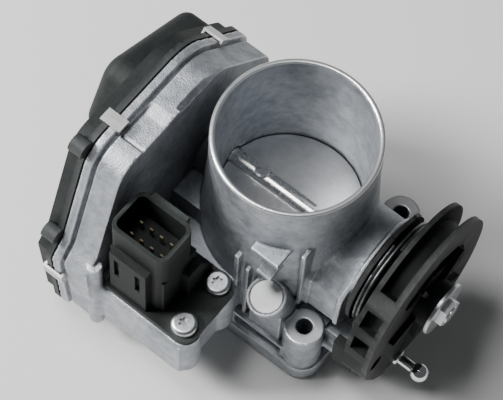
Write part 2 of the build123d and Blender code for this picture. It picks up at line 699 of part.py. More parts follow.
BEARINGS = {"drive": FLOOR_IN_X, "pulley": SEAT_FACE_X - BEARING_L}
SEALS = {"drive": FLOOR_IN_X + BEARING_L, "pulley": SEAT_FACE_X - BEARING_L - SEAL_L}
for side, low in BEARINGS.items():
    with BuildPart() as bearing:
        ring_x(BEARING_R - FIT, SHAFT_R + RUN_FIT, low + BEARING_END, low + BEARING_L - BEARING_END)
    save(bearing.part, f"{side}_side_bearing")
for side, low in SEALS.items():
    with BuildPart() as seal:
        ring_x(BEARING_R - FIT, SHAFT_R + SEAL_GAP, low + BEARING_END, low + SEAL_L - BEARING_END)
    save(seal.part, f"{side}_side_shaft_seal")

# ---------------------------------------------------------------- return spring and its cup
with BuildPart() as spring_cup:
    ring_x(CUP_R, CUP_HOLE_R, CUP_LOW_X, CUP_LOW_X + CUP_T)
    ring_x(SLEEVE_R, SLEEVE_IN_R, CUP_LOW_X, SLEEVE_END_X)
    with BuildSketch(Plane.YZ.offset(CUP_LOW_X)):
        with Locations((0, SHAFT_Z)):
            with PolarLocations(CUP_TAB_REACH, CUP_TABS, start_angle=40, angular_range=120):
                Rectangle(CUP_TAB_SIZE, CUP_TAB_SIZE)
    extrude(amount=CUP_T)
save(spring_cup.part, "spring_cup")

with BuildPart() as return_spring:
    with BuildLine() as coil:
        Helix(pitch=SPRING_PITCH, height=SPRING_PITCH * SPRING_TURNS, radius=SPRING_R,
              center=(SPRING_LOW_X, 0, SHAFT_Z), direction=(1, 0, 0))
    with BuildSketch(Plane(origin=coil.line @ 0, z_dir=coil.line % 0)):
        Circle(SPRING_WIRE_R)
    sweep(path=coil.line, is_frenet=True)
save(return_spring.part, "return_spring")

# ---------------------------------------------------------------- cable pulley and its hardware
with BuildPart() as pulley:
    disc_x(HUB_LOW_R, HUB_LOW_X, SPOOL_X)
    disc_x(SPOOL_R, SPOOL_X, FLANGE_IN_X)
    disc_x(PULLEY_R, FLANGE_IN_X, FLANGE_OUT_X)
    # cam lobe of the outer flange, which carries the ball stud
    disc_x(CAM_R, GROOVE_HIGH_X, FLANGE_OUT_X, y=CAM_SPOT[0], z=CAM_SPOT[1])
    # solid cable-end block, its stop finger and the spring hook
    prism_x(PULLEY_BLOCK, FLANGE_IN_X, FLANGE_OUT_X, radius=PULLEY_BLOCK_CORNER)
    prism_x(FINGER_POINTS, FINGER_LOW_X, FLANGE_IN_X + WELD, radius=1)
    prism_x(HOOK_POINTS, SPOOL_X, FLANGE_IN_X + WELD, radius=1)
    # cable groove over the upper and far part of the rim
    with BuildSketch(Plane.YZ.offset(GROOVE_LOW_X)):
        with Locations((0, SHAFT_Z)):
            Circle(PULLEY_R + GROOVE_CLEAR)
            Circle(GROOVE_R, mode=Mode.SUBTRACT)
        with BuildLine():
            Polyline(*GROOVE_WEDGE, close=True)
        make_face(mode=Mode.INTERSECT)
    extrude(amount=GROOVE_HIGH_X - GROOVE_LOW_X, mode=Mode.SUBTRACT)
    # nipple pocket and the two moulded pockets in the closed part of the rim
    disc_x(NIPPLE_R, GROOVE_LOW_X, FLANGE_OUT_X + CUT, y=NIPPLE_SPOT[0], z=NIPPLE_SPOT[1], mode=Mode.SUBTRACT)
    with BuildSketch(Plane.YZ.offset(GROOVE_LOW_X)):
        with Locations((0, SHAFT_Z)):
            for pocket_angle in RIM_POCKETS:
                with PolarLocations(PULLEY_R, 1, start_angle=pocket_angle):
                    Rectangle(RIM_POCKET_W, RIM_POCKET_W)
    extrude(amount=GROOVE_HIGH_X - GROOVE_LOW_X, mode=Mode.SUBTRACT)
    # lightening windows between hub and rim
    with BuildSketch(Plane.YZ.offset(FLANGE_IN_X + WINDOW_FLOOR_T)):
        with Locations((0, SHAFT_Z)):
            for window_angle in WINDOW_ANGLES:
                with PolarLocations(WINDOW_REACH, 1, start_angle=window_angle):
                    SlotCenterToCenter(WINDOW_L, WINDOW_W, rotation=90)
    extrude(amount=HUB_END_X - FLANGE_IN_X, mode=Mode.SUBTRACT)
    # hub on the outer side with its ribs
    disc_x(HUB_R, FLANGE_OUT_X - WELD, HUB_END_X)
    with BuildSketch(Plane.YZ.offset(FLANGE_OUT_X - WELD)):
        with Locations((0, SHAFT_Z)):
            with PolarLocations(HUB_RIB_REACH, HUB_RIBS, start_angle=HUB_RIB_START):
                Rectangle(HUB_RIB_L, HUB_RIB_W)
    extrude(amount=HUB_RIB_H + WELD)
    # shaft and ball stud holes
    disc_x(SHAFT_R + FIT, HUB_LOW_X - CUT, HUB_END_X + CUT, mode=Mode.SUBTRACT)
    disc_x(STUD_R + FIT, GROOVE_HIGH_X - WELD, FLANGE_OUT_X + CUT, y=BALL_Y, z=BALL_Z, mode=Mode.SUBTRACT)
save(pulley.part, "cable_pulley")

with BuildPart() as washer:
    ring_x(WASHER_R, SHAFT_R + SEAL_GAP, HUB_END_X + STACK_GAP, HUB_END_X + WASHER_T)
save(washer.part, "shaft_washer")

with BuildPart() as nut:
    with BuildSketch(Plane.YZ.offset(HUB_END_X + WASHER_T + STACK_GAP)):
        with Locations((0, SHAFT_Z)):
            RegularPolygon(NUT_FLATS / 2, 6, major_radius=False)
            Circle(SHAFT_R + FIT, mode=Mode.SUBTRACT)
    extrude(amount=NUT_T)
save(nut.part, "shaft_nut")

with BuildPart() as ball_stud:
    disc_x(STUD_R, GROOVE_HIGH_X - WELD + STACK_GAP, FLANGE_OUT_X + STUD_COLLAR_T, y=BALL_Y, z=BALL_Z)
    disc_x(STUD_COLLAR_R, FLANGE_OUT_X + STACK_GAP, FLANGE_OUT_X + STUD_COLLAR_T, y=BALL_Y, z=BALL_Z)
    disc_x(STUD_NECK_R, FLANGE_OUT_X + WELD, BALL_X - WELD, y=BALL_Y, z=BALL_Z)
    with Locations((BALL_X, BALL_Y, BALL_Z)):
        Sphere(BALL_R)
save(ball_stud.part, "ball_stud")

# ---------------------------------------------------------------- throttle stop
with BuildPart() as stop_screw:
    with BuildSketch(Plane.XZ.offset(-STOP_TIP_Y)):
        with Locations((STOP_X, STOP_Z)):
            Circle(STOP_R - FIT)
    extrude(amount=-STOP_L)
save(stop_screw.part, "stop_screw")

with BuildPart() as stop_nut:
    with BuildSketch(Plane.XZ.offset(-STOP_NUT_Y)):
        with Locations((STOP_X, STOP_Z)):
            RegularPolygon(STOP_NUT_R, 6, major_radius=False)
            Circle(STOP_R, mode=Mode.SUBTRACT)
    extrude(amount=-STOP_NUT_T)
save(stop_nut.part, "stop_lock_nut")

# ---------------------------------------------------------------- gear cover, gasket, clips
with BuildPart() as gear_cover:
    tray_slab(COVER_X, RIM_X - GASKET_T, grow=-COVER_INSET)
    tray_slab(RIM_X - GASKET_T - COVER_FLANGE_T, RIM_X - GASKET_T, grow=LIP_OUT)
    dome_slab(DOME_X, COVER_X + WELD)
    fillet(gear_cover.edges().group_by(Axis.X)[0], radius=DOME_SOFT)
    # flat raised panel beside the dome, stiffening ribs and the two lugs
    prism_x(PANEL_POINTS, COVER_X - PANEL_T, COVER_X + WELD, radius=PANEL_CORNER)
    for rib_z in COVER_RIB_Z:
        box_between((COVER_X - COVER_RIB_H, COVER_RIB_Y[0], rib_z),
                    (COVER_X + WELD, COVER_RIB_Y[1], rib_z + COVER_RIB_T))
    for lug_y, lug_z, lug_r in LUGS:
        disc_x(lug_r, RIM_X - GASKET_T - LUG_L, RIM_X - GASKET_T, y=lug_y, z=lug_z)
    # inside
    tray_slab(COVER_X + COVER_WALL, RIM_X + CUT, grow=-TRAY_WALL, mode=Mode.SUBTRACT)
    dome_slab(DOME_X + COVER_WALL, COVER_X + COVER_WALL + CUT, inset=COVER_WALL, mode=Mode.SUBTRACT)
save(gear_cover.part, "gear_cover")

with BuildPart() as cover_gasket:
    tray_slab(RIM_X - GASKET_T + FIT, RIM_X - FIT, grow=GASKET_GROW)
    tray_slab(RIM_X - GASKET_T - CUT, RIM_X + CUT, grow=GASKET_INSET - TRAY_WALL, mode=Mode.SUBTRACT)
save(cover_gasket.part, "cover_gasket")

with BuildPart() as clips:
    for clip_y, clip_z, clip_turn in CLIP_SPOTS:
        clip_plane = Plane(origin=(0, clip_y, clip_z), x_dir=(1, 0, 0),
                           z_dir=(0, -sin(radians(clip_turn)), cos(radians(clip_turn))))
        with BuildSketch(clip_plane.offset(-CLIP_W / 2)):
            with BuildLine():
                Polyline((CLIP_LOW_X - CLIP_T, -CLIP_REACH_COVER), (CLIP_LOW_X - CLIP_T, CLIP_GAP + CLIP_T),
                         (CLIP_HIGH_X + CLIP_T, CLIP_GAP + CLIP_T), (CLIP_HIGH_X + CLIP_T, -CLIP_REACH_LIP),
                         (CLIP_HIGH_X, -CLIP_REACH_LIP), (CLIP_HIGH_X, CLIP_GAP), (CLIP_LOW_X, CLIP_GAP),
                         (CLIP_LOW_X, -CLIP_REACH_COVER), close=True)
            make_face()
        extrude(amount=CLIP_W)
save(clips.part, "cover_clips")

# ---------------------------------------------------------------- connector
TOWER_SIZE = (TOWER_HIGH[0] - TOWER_LOW[0], TOWER_HIGH[1] - TOWER_LOW[1])
TOWER_SPOT = ((TOWER_LOW[0] + TOWER_HIGH[0]) / 2, (TOWER_LOW[1] + TOWER_HIGH[1]) / 2)
PIN_LOW_Z = SOCKET_Z - SOCKET_DEPTH - PIN_ROOT

with BuildPart() as connector_seal:
    with BuildSketch(Plane.XY.offset(BOX_HIGH_Z + FIT)):
        with Locations(SEAL_SPOT):
            RectangleRounded(*SEAL_OUTER)
            RectangleRounded(*SEAL_INNER, mode=Mode.SUBTRACT)
    extrude(amount=SEAL_T - 2 * FIT)
save(connector_seal.part, "connector_seal")

with BuildPart() as connector:
    # foot plate with rounded ends at the screws
    with BuildSketch(Plane.XY.offset(PAD_Z)):
        with BuildLine():
            FilletPolyline(*FOOT_POINTS, radius=list(FOOT_ROUNDING), close=True)
        make_face()
    extrude(amount=PAD_T)
    # skirt, stepped shoulder, heel, socket tower and latch bridge
    box_between(SKIRT_LOW, SKIRT_HIGH)
    box_between(SHOULDER_LOW, SHOULDER_HIGH)
    prism_x(HEEL_POINTS, *HEEL_X, radius=2)
    with BuildSketch(Plane.XY.offset(PAD_Z)):
        with Locations(TOWER_SPOT):
            RectangleRounded(*TOWER_SIZE, TOWER_CORNER)
    extrude(amount=SOCKET_Z - PAD_Z)
    box_between(LATCH_LOW, LATCH_HIGH)
    # socket cavity
    with BuildSketch(Plane.XY.offset(SOCKET_Z - SOCKET_DEPTH)):
        with Locations(TOWER_SPOT):
            RectangleRounded(TOWER_SIZE[0] - 2 * SOCKET_WALL, TOWER_SIZE[1] - 2 * SOCKET_WALL, SOCKET_CORNER)
    extrude(amount=SOCKET_DEPTH + CUT, mode=Mode.SUBTRACT)
    # two slots in the skirt
    for slot_x in SKIRT_SLOT_X:
        box_between((slot_x, SKIRT_LOW[1] - CUT, SKIRT_SLOT_Z[0]),
                    (slot_x + SKIRT_SLOT_W, SKIRT_LOW[1] + SKIRT_SLOT_DEPTH, SKIRT_SLOT_Z[1]),
                    mode=Mode.SUBTRACT)
    for x, y in SCREW_POINTS:
        disc_z(SCREW_R + SCREW_GAP, PAD_Z - CUT, PAD_Z + PAD_T + CUT, x=x, y=y, mode=Mode.SUBTRACT)
        disc_z(HEAD_SEAT_R, PAD_Z + PAD_T, PAD_Z + HEAD_SEAT_L, x=x, y=y, mode=Mode.SUBTRACT)
    # seats of the eight blades
    with BuildSketch(Plane.XY.offset(PIN_LOW_Z)):
        with Locations(TOWER_SPOT):
            with GridLocations(*PIN_GRID):
                Rectangle(PIN_W, PIN_T)
    extrude(amount=PIN_ROOT + CUT, mode=Mode.SUBTRACT)
save(connector.part, "connector_housing")

with BuildPart() as terminals:
    with BuildSketch(Plane.XY.offset(PIN_LOW_Z)):
        with Locations(TOWER_SPOT):
            with GridLocations(*PIN_GRID):
                Rectangle(PIN_W, PIN_T)
    extrude(amount=PIN_L)
save(terminals.part, "connector_terminals")

with BuildPart() as connector_screws:
    for x, y in SCREW_POINTS:
        disc_z(SCREW_R - FIT, BOX_HIGH_Z - SCREW_HOLE_L + CUT, PAD_Z + PAD_T + CUT, x=x, y=y)
        disc_z(HEAD_R, PAD_Z + PAD_T + FIT, PAD_Z + PAD_T + HEAD_T, x=x, y=y)
    fillet(connector_screws.edges().filter_by(GeomType.CIRCLE).group_by(Axis.Z)[-1], radius=HEAD_SOFT)
    for x, y in SCREW_POINTS:
        with BuildSketch(Plane.XY.offset(PAD_Z + PAD_T + SOCKET_FLOOR)):
            with Locations((x, y)):
                Circle(SOCKET_R)
                with PolarLocations(SOCKET_R, SOCKET_LOBES):
                    Circle(SOCKET_LOBE_R)
        extrude(amount=HEAD_T, mode=Mode.SUBTRACT)
save(connector_screws.part, "connector_screws")

# ---------------------------------------------------------------- idle motor
with BuildPart() as motor:
    disc_x(MOTOR_R, MOTOR_LOW_X, MOTOR_HIGH_X, y=MOTOR_Y, z=MOTOR_Z)
    disc_x(MOTOR_NOSE_R, MOTOR_LOW_X - MOTOR_NOSE_L, MOTOR_LOW_X, y=MOTOR_Y, z=MOTOR_Z)
    disc_x(MOTOR_SHAFT_R + MOTOR_SHAFT_GAP, MOTOR_LOW_X - MOTOR_NOSE_L - CUT, MOTOR_LOW_X + CUT, y=MOTOR_Y,
           z=MOTOR_Z, mode=Mode.SUBTRACT)
save(motor.part, "idle_motor")

with BuildPart() as motor_plate:
    with BuildSketch(Plane.YZ.offset(FLOOR_IN_X - RETAINER_T - STACK_GAP)):
        with Locations((MOTOR_Y, MOTOR_Z)):
            SlotCenterToCenter(RETAINER_L, RETAINER_W, rotation=90)
            Circle(RETAINER_MIDDLE_R)
            Circle(MOTOR_NOSE_R + SCREW_GAP, mode=Mode.SUBTRACT)
            with GridLocations(0, MOTOR_SCREW_SPAN, 1, 2):
                Circle(MOTOR_SCREW_R + SCREW_GAP, mode=Mode.SUBTRACT)
    extrude(amount=RETAINER_T)
save(motor_plate.part, "motor_retainer")

HEAD_FACE_X = FLOOR_IN_X - RETAINER_T - 2 * STACK_GAP
with BuildPart() as motor_screws:
    for side in (-1, 1):
        screw_z = MOTOR_Z + side * MOTOR_SCREW_SPAN / 2
        disc_x(MOTOR_SCREW_R, HEAD_FACE_X - JOIN, FLOOR_OUT_X - 2 * JOIN, y=MOTOR_Y, z=screw_z)
        disc_x(MOTOR_HEAD_R, HEAD_FACE_X - MOTOR_HEAD_T, HEAD_FACE_X, y=MOTOR_Y, z=screw_z)
save(motor_screws.part, "motor_screws")

with BuildPart() as motor_shaft:
    disc_x(MOTOR_SHAFT_R, WHEEL_LOW_X - CUT, MOTOR_LOW_X + CUT / 2, y=MOTOR_Y, z=MOTOR_Z)
    gear_x(PINION_TEETH, WHEEL_LOW_X - CUT / 2, WHEEL_HIGH_X + CUT / 2, MOTOR_Y, MOTOR_Z,
           gap_phase(PINION_TEETH, PINION_ANGLE + pi))
save(motor_shaft.part, "motor_pinion")

# ---------------------------------------------------------------- idler gear and its pin
# the idler's large wheel points a tooth at the pinion's gap; its small gear points a tooth
# at the sector's gap
with BuildPart() as idler_pin:
    disc_x(IDLER_PIN_R, WHEEL_LOW_X - 2 * CUT, FLOOR_OUT_X - SHAFT_HOLE_GAP - STACK_GAP, y=IDLER_Y, z=IDLER_Z)
save(idler_pin.part, "idler_pin")

with BuildPart() as idler:
    gear_x(WHEEL_TEETH, WHEEL_LOW_X, WHEEL_HIGH_X, IDLER_Y, IDLER_Z, PINION_ANGLE)
    gear_x(SMALL_TEETH, WHEEL_HIGH_X - CUT / 2, SECTOR_HIGH_X + PLATE_EDGE, IDLER_Y, IDLER_Z, IDLER_ANGLE + pi)
    disc_x(IDLER_HUB_R, SECTOR_HIGH_X, FLOOR_IN_X - SHAFT_HOLE_GAP, y=IDLER_Y, z=IDLER_Z)
    for index in range(IDLER_HOLES):
        turn = 2 * pi * index / IDLER_HOLES
        disc_x(IDLER_HOLE_R, WHEEL_LOW_X - CUT, WHEEL_HIGH_X - CUT / 2,
               y=IDLER_Y + IDLER_HOLE_REACH * cos(turn), z=IDLER_Z + IDLER_HOLE_REACH * sin(turn),
               mode=Mode.SUBTRACT)
    disc_x(IDLER_PIN_R + IDLER_GAP, WHEEL_LOW_X - CUT, FLOOR_IN_X, y=IDLER_Y, z=IDLER_Z, mode=Mode.SUBTRACT)
save(idler.part, "idler_gear")

# ---------------------------------------------------------------- idle sector and shaft end
SECTOR_FOOT_R = MODULE * SECTOR_TEETH / 2 - DEDENDUM
SECTOR_HALF = pi * SECTOR_SPAN_TEETH / SECTOR_TEETH + SECTOR_EDGE


def sector_point(angle):
    """A point on the sector body's outer arc."""
    return (SECTOR_FOOT_R * cos(angle), SHAFT_Z + SECTOR_FOOT_R * sin(angle))


with BuildPart() as sector:
    disc_x(SECTOR_HUB_R, SECTOR_LOW_X, SECTOR_HIGH_X)
    with BuildSketch(Plane.YZ.offset(SECTOR_LOW_X)):
        first = sector_point(IDLER_ANGLE - SECTOR_HALF)
        last = sector_point(IDLER_ANGLE + SECTOR_HALF)
        with BuildLine():
            Polyline((0, SHAFT_Z), first)
            ThreePointArc(first, sector_point(IDLER_ANGLE), last)
            Polyline(last, (0, SHAFT_Z))
        make_face()
    extrude(amount=SECTOR_HIGH_X - SECTOR_LOW_X)
    with BuildSketch(Plane.YZ.offset(SECTOR_LOW_X)):
        for index in range(-SECTOR_SPAN_TEETH // 2, SECTOR_SPAN_TEETH // 2 + 1):
            tooth(SECTOR_TEETH, gap_phase(SECTOR_TEETH, IDLER_ANGLE) + 2 * pi * index / SECTOR_TEETH, 0,
                  SHAFT_Z)
    extrude(amount=SECTOR_HIGH_X - SECTOR_LOW_X)
    # idle dog, a round peg that stands towards the cover
    disc_x(DOG_R, SECTOR_LOW_X - DOG_R, SECTOR_LOW_X + WELD, y=DOG_REACH * cos(DOG_ANGLE),
           z=SHAFT_Z + DOG_REACH * sin(DOG_ANGLE))
    disc_x(SHAFT_R + SEAL_GAP, SECTOR_LOW_X - DOG_R - CUT, SECTOR_HIGH_X + CUT, mode=Mode.SUBTRACT)
save(sector.part, "idle_sector")

with BuildPart() as wiper:
    disc_x(WIPER_HUB_R, WIPER_LOW_X, WIPER_HIGH_X)
    box_between((WIPER_LOW_X, -WIPER_ARM_HALF, SHAFT_Z - WIPER_ARM_L), (WIPER_HIGH_X, WIPER_ARM_HALF, SHAFT_Z))
    for track in WIPER_BRUSHES:
        box_between((BRUSH_LOW_X, -BRUSH_HALF[0], SHAFT_Z - track - BRUSH_HALF[1]),
                    (WIPER_LOW_X + WELD, BRUSH_HALF[0], SHAFT_Z - track + BRUSH_HALF[1]))
    disc_x(SHAFT_R + FIT, SHAFT_LOW_X, WIPER_HIGH_X + CUT, mode=Mode.SUBTRACT)
save(wiper.part, "position_wiper")

with BuildPart() as sensor_board:
    with BuildSketch(Plane.YZ.offset(COVER_X + COVER_WALL + BOARD_STAND)):
        with Locations((BOARD_Y, BOARD_Z)):
            RectangleRounded(BOARD_W, BOARD_H, BOARD_CORNER)
    extrude(amount=BOARD_T)
save(sensor_board.part, "position_sensor_board")
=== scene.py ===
"""Looks of a cable-driven throttle body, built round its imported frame.

Every length is in metres in the frame's own axes: +Z up the duct, +X along the throttle shaft
towards the cable pulley, the origin at the duct axis on the manifold flange.
"""

import json
import logging
import math
from dataclasses import dataclass
from enum import Enum
from typing import Any, Callable, Iterable, Sequence

import bmesh
import bpy
import numpy as np
from mathutils import Matrix, Vector

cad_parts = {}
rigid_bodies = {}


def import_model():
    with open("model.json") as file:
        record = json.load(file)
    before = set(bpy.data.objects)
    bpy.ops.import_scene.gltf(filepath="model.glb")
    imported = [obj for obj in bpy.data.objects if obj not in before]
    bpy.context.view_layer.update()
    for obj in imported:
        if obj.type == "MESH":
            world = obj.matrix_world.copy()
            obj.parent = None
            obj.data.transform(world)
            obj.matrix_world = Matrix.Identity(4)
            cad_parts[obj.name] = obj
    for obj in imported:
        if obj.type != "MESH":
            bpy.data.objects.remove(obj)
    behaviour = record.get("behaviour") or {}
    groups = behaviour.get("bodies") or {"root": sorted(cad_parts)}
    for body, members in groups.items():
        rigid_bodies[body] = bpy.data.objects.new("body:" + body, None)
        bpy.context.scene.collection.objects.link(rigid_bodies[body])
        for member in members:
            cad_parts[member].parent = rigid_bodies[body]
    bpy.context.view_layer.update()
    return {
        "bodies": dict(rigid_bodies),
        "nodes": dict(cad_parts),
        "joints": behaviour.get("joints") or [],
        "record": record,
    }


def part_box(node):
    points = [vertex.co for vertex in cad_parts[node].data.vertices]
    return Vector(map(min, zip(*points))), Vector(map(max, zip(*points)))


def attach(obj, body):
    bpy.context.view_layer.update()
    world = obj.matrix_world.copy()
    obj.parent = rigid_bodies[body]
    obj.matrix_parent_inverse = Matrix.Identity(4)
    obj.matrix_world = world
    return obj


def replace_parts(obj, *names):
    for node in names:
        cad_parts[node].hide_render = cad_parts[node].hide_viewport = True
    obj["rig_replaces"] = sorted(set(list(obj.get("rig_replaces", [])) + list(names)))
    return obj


LOG = logging.getLogger("throttle_body")
MM = 0.001
FACETS = 96                # round a turned surface
SHARP_DEGREES = 35.0       # edges bent more than this stay sharp
MERGE = 0.001 * MM         # points nearer than this are one
ROUND_STEPS = 4            # points along a rounded corner
ROUND_SHARE = 0.45         # the most of a side that its corner's rounding takes

Point = tuple[float, float, float]
Pair = tuple[float, float]
Colour = tuple[float, float, float]


class Body(Enum):
    """The moving bodies that pieces ride on."""

    HOUSING = "housing"
    THROTTLE = "throttle"


# ---------------------------------------------------------------- shader tools
@dataclass(frozen=True)
class Noise:
    """A noise pattern: patch width in metres, finer octaves, their weight, and scale per axis."""

    size: float
    detail: float = 3.0
    rough: float = 0.5
    stretch: Point = (1.0, 1.0, 1.0)


class Value:
    """A number that varies over a surface; arithmetic on it adds Math nodes."""

    def __init__(self, shader: "Shader", socket: bpy.types.NodeSocket) -> None:
        """Wraps one output socket.

        Args:
            shader: The shader that the socket belongs to.
            socket: The output socket to wrap.
        """
        self.shader = shader
        self.socket = socket

    def _math(self, operation: str, *operands: "Value | float", clamp: bool = False) -> "Value":
        """Adds one Math node.

        Args:
            operation: The Math node's operation.
            operands: The node's inputs, in order.
            clamp: Whether the result stays between 0 and 1.

        Returns:
            The node's result.
        """
        inputs = dict(enumerate(operands))
        node = self.shader.node("ShaderNodeMath", {"operation": operation, "use_clamp": clamp}, inputs)
        return Value(self.shader, node.outputs[0])

    def __add__(self, other: "Value | float") -> "Value":
        """Adds."""
        return self._math("ADD", self, other)

    __radd__ = __add__

    def __mul__(self, other: "Value | float") -> "Value":
        """Multiplies."""
        return self._math("MULTIPLY", self, other)

    __rmul__ = __mul__

    def __sub__(self, other: "Value | float") -> "Value":
        """Subtracts other from this."""
        return self._math("SUBTRACT", self, other)

    def __rsub__(self, other: "Value | float") -> "Value":
        """Subtracts this from other."""
        return self._math("SUBTRACT", other, self)

    def clamped(self) -> "Value":
        """Keeps the value between 0 and 1."""
        return self._math("ADD", self, 0.0, clamp=True)

    def step(self, low: float, high: float) -> "Value":
        """Rises smoothly from 0 at low to 1 at high.

        Args:
            low: Where the rise starts.
            high: Where the rise ends; below low, the step falls instead.

        Returns:
            The stepped value.
        """
        settings = {"interpolation_type": "SMOOTHSTEP", "clamp": True}
        inputs = {"Value": self, "From Min": low, "From Max": high, "To Min": 0.0, "To Max": 1.0}
        node = self.shader.node("ShaderNodeMapRange", settings, inputs)
        return Value(self.shader, node.outputs[0])


class Shader:
    """One material with a Principled surface, filled in by a finish."""

    def __init__(self, name: str) -> None:
        """Starts an empty material.

        Args:
            name: The material's name.
        """
        self.material = bpy.data.materials.new(name)
        self.material.use_nodes = True
        self.tree = self.material.node_tree
        self.surface = self.tree.nodes["Principled BSDF"]

    def node(self, kind: str, settings: dict[str, Any], inputs: dict[Any, Any]) -> bpy.types.Node:
        """Adds any node.

        Args:
            kind: The node's type name.
            settings: Attributes, set before any input.
            inputs: Socket name or index to a number, colour, socket or Value.

        Returns:
            The new node.
        """
        made = self.tree.nodes.new(kind)
        for key, wanted in settings.items():
            setattr(made, key, wanted)
        for key, wanted in inputs.items():
            self.feed(made.inputs[key], wanted)
        return made

    def feed(self, target: bpy.types.NodeSocket, wanted: Any) -> None:
        """Links a Value or socket to a socket, or sets a plain value on it."""
        if isinstance(wanted, Value):
            wanted = wanted.socket
        if isinstance(wanted, bpy.types.NodeSocket):
            self.tree.links.new(wanted, target)
        else:
            target.default_value = wanted

    def place(self) -> bpy.types.NodeSocket:
        """The point on the piece, in the row frame."""
        return self.node("ShaderNodeTexCoord", {}, {}).outputs["Object"]

    def axis(self, name: str) -> Value:
        """One coordinate of the point on the piece, X, Y or Z, in metres."""
        split = self.node("ShaderNodeSeparateXYZ", {}, {0: self.place()})
        return Value(self, split.outputs[name])

    def facing(self, name: str) -> Value:
        """How far the surface's normal points along X, Y or Z."""
        normal = self.node("ShaderNodeNewGeometry", {}, {}).outputs["Normal"]
        split = self.node("ShaderNodeSeparateXYZ", {}, {0: normal})
        return Value(self, split.outputs[name])

    def edges(self, low: float, high: float) -> Value:
        """Rises from 0 to 1 where the surface is bent outwards, or inwards if high is below low."""
        bend = self.node("ShaderNodeNewGeometry", {}, {}).outputs["Pointiness"]
        return Value(self, bend).step(low, high)

    def noise(self, pattern: Noise) -> Value:
        """Smooth noise.

        Args:
            pattern: The noise's size and character.

        Returns:
            Noise between 0 and 1.
        """
        mapped = self.node("ShaderNodeMapping", {}, {"Vector": self.place(), "Scale": pattern.stretch})
        inputs = {"Vector": mapped.outputs[0], "Scale": 1.0 / pattern.size, "Detail": pattern.detail,
                  "Roughness": pattern.rough}
        return Value(self, self.node("ShaderNodeTexNoise", {}, inputs).outputs[0])

    def grains(self, size: float) -> Value:
        """Distance to the nearest of many random points, for blasted or moulded grain."""
        inputs = {"Vector": self.place(), "Scale": 1.0 / size}
        return Value(self, self.node("ShaderNodeTexVoronoi", {}, inputs).outputs["Distance"])

    def blend(self, factor: Value, low: Any, high: Any) -> bpy.types.NodeSocket:
        """Mixes two colours by a factor from 0 to 1."""
        settings = {"data_type": "RGBA"}
        made = self.node("ShaderNodeMix", settings, {})
        self.feed(made.inputs["Factor"], factor)
        colours = [socket for socket in made.inputs if socket.type == "RGBA"]
        for socket, wanted in zip(colours, (low, high)):
            self.feed(socket, (*wanted, 1.0) if isinstance(wanted, tuple) else wanted)
        return next(socket for socket in made.outputs if socket.type == "RGBA")

    def bump(self, height: Value, depth: float) -> None:
        """Raises the surface by height times depth metres, by shading alone."""
        node = self.node("ShaderNodeBump", {}, {"Height": height, "Distance": depth, "Strength": 1.0})
        self.tree.links.new(node.outputs[0], self.surface.inputs["Normal"])

    def set(self, **values: Any) -> None:
        """Sets or links the surface's sockets; an underscore in a name stands for a space."""
        for key, wanted in values.items():
            self.feed(self.surface.inputs[key.replace("_", " ")], wanted)


